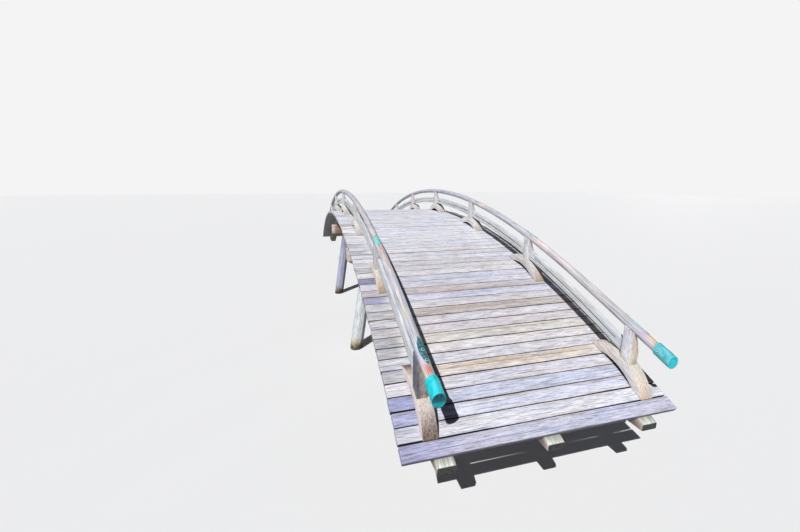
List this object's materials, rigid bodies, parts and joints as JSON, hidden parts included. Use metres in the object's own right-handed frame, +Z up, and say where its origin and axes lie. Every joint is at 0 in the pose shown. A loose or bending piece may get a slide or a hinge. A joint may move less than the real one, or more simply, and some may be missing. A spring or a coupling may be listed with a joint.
{
  "type": "moon bridge",
  "caption": "Arched timber garden footbridge: a plank deck on curved girders, low round rails on plumb posts and arched saddles, copper caps, and splayed posts under its crown.",
  "frame": {"origin": "middle of the bridge at the level of its feet, straight below the crest of the deck", "axes": "+Y along the bridge, away from the end the picture was taken from; +X across it, to the right when looking along +Y; +Z up"},
  "size_m": [2.008, 8.845, 2.1871],
  "materials": {
    "boards": "weathered, dry, matt",
    "rails": "weathered, smooth, matt",
    "saddles": "weathered, matt",
    "timbers": "weathered, dark and damp at the foot, matt",
    "copper": "old copper with an even blue-green patina, matt"
  },
  "bodies": {
    "root": {"deck_boards_1": "boards", "deck_boards_2": "boards", "deck_boards_3": "boards", "deck_boards_4": "boards", "deck_boards_5": "boards", "deck_boards_6": "boards", "deck_boards_7": "boards", "deck_boards_8": "boards", "left_girder": "timbers", "middle_girder": "timbers", "right_girder": "timbers", "near_cross_beam": "timbers", "far_cross_beam": "timbers", "near_left_pile": "timbers", "near_right_pile": "timbers", "far_left_pile": "timbers", "far_right_pile": "timbers", "left_top_rail": "rails", "right_top_rail": "rails", "left_posts": "rails", "right_posts": "rails", "left_middle_rails": "rails", "right_middle_rails": "rails", "left_saddles": "saddles", "right_saddles": "saddles", "near_left_cap": "copper", "near_right_cap": "copper", "far_left_cap": "copper", "far_right_cap": "copper", "left_plates": "copper", "right_plates": "copper"}
  },
  "joints": []
}
